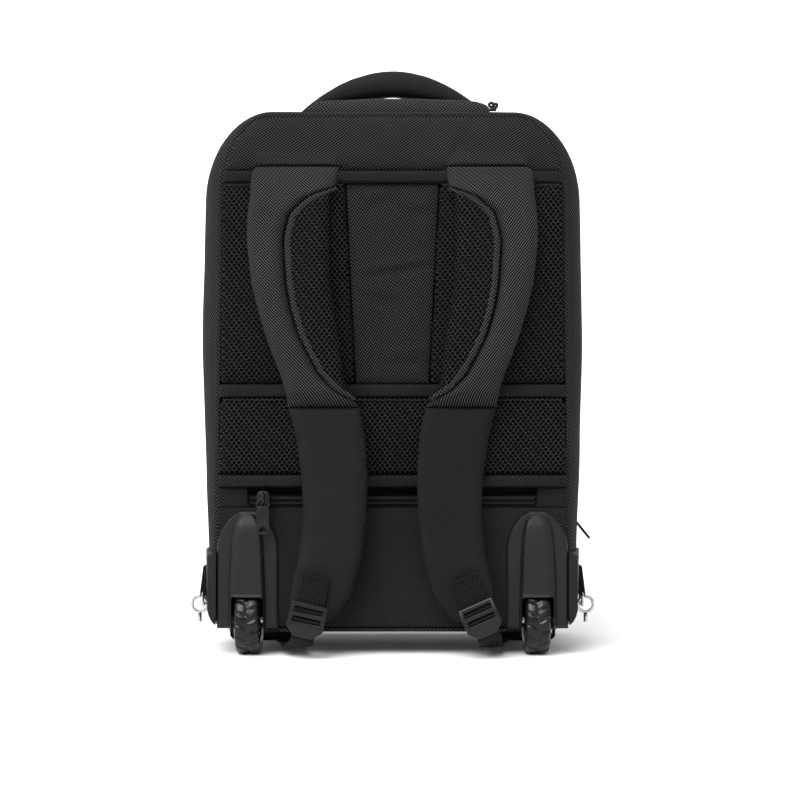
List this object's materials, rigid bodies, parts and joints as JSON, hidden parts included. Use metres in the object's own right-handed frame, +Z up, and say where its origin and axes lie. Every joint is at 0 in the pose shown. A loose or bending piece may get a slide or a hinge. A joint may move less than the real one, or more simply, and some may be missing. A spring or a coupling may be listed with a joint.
{
  "type": "wheeled backpack",
  "caption": "Upright soft travel backpack with padded shoulder straps, mesh back pads, grab handle and inline wheels in moulded housings at its lower corners.",
  "frame": {"origin": "centre of the footprint on the ground, under the middle of the whole bag", "axes": "+Z up, -Y the harness side with the shoulder straps, +Y the plain front, +X to the right when looking at the harness side"},
  "size_m": [0.3744, 0.216, 0.5369],
  "materials": {
    "cloth": "charcoal twill weave, padded",
    "mesh": "open spacer mesh",
    "tape": "woven binding tape",
    "webbing": "ribbed nylon webbing",
    "plastic": "fine-grained dark grey moulding",
    "buckle": "satin black moulding",
    "tyre": "black rubber with a block tread",
    "hub": "grey moulding",
    "zip": "woven zip tape with a coil chain",
    "slider": "black glossy metal",
    "steel": "bright nickel"
  },
  "bodies": {
    "bag": {"gusset_shell": "cloth", "main_zip": "zip", "front_panel": "cloth", "yoke_panel": "cloth", "mesh_pad_upper_left": "mesh", "mesh_pad_upper_right": "mesh", "centre_channel": "cloth", "mesh_pad_lower": "mesh", "tape_upper": "tape", "tape_middle": "tape", "tape_lower": "tape", "lower_panel": "cloth", "back_zip": "zip", "zip_tab_left": "cloth", "zip_tab_right": "cloth", "back_zip_slider": "slider", "main_zip_pull": "slider", "handle_anchor_left": "cloth", "handle_anchor_right": "cloth", "grab_handle": "cloth", "trolley_cover": "cloth", "trolley_zip_slider": "slider", "wheel_housing_left": "plastic", "wheel_housing_right": "plastic", "axle_left": "steel", "axle_right": "steel", "corner_guard_left": "plastic", "corner_guard_right": "plastic", "front_foot_left": "plastic", "front_foot_right": "plastic", "strap_upper_left": "cloth", "strap_upper_right": "cloth", "strap_mesh_left": "mesh", "strap_mesh_right": "mesh", "strap_lower_left": "cloth", "strap_lower_right": "cloth", "strap_tab_left": "webbing", "strap_tab_right": "webbing", "buckle_left": "buckle", "buckle_right": "buckle", "lower_webbing_left": "webbing", "lower_webbing_right": "webbing", "side_loop_left": "webbing", "side_loop_right": "webbing", "d_ring_left": "steel", "d_ring_right": "steel", "snap_hook_left": "steel", "snap_hook_right": "steel"},
    "wheel_left": {"wheel_tyre_left": "tyre", "wheel_hub_left": "hub"},
    "wheel_right": {"wheel_tyre_right": "tyre", "wheel_hub_right": "hub"}
  },
  "joints": [
    {"name": "wheel_left_spin", "type": "hinge", "parent": "bag", "child": "wheel_left", "pos_m": [-0.13, -0.057, 0.031], "axis": [1, 0, 0], "continuous": true},
    {"name": "wheel_right_spin", "type": "hinge", "parent": "bag", "child": "wheel_right", "pos_m": [0.13, -0.057, 0.031], "axis": [1, 0, 0], "continuous": true}
  ]
}
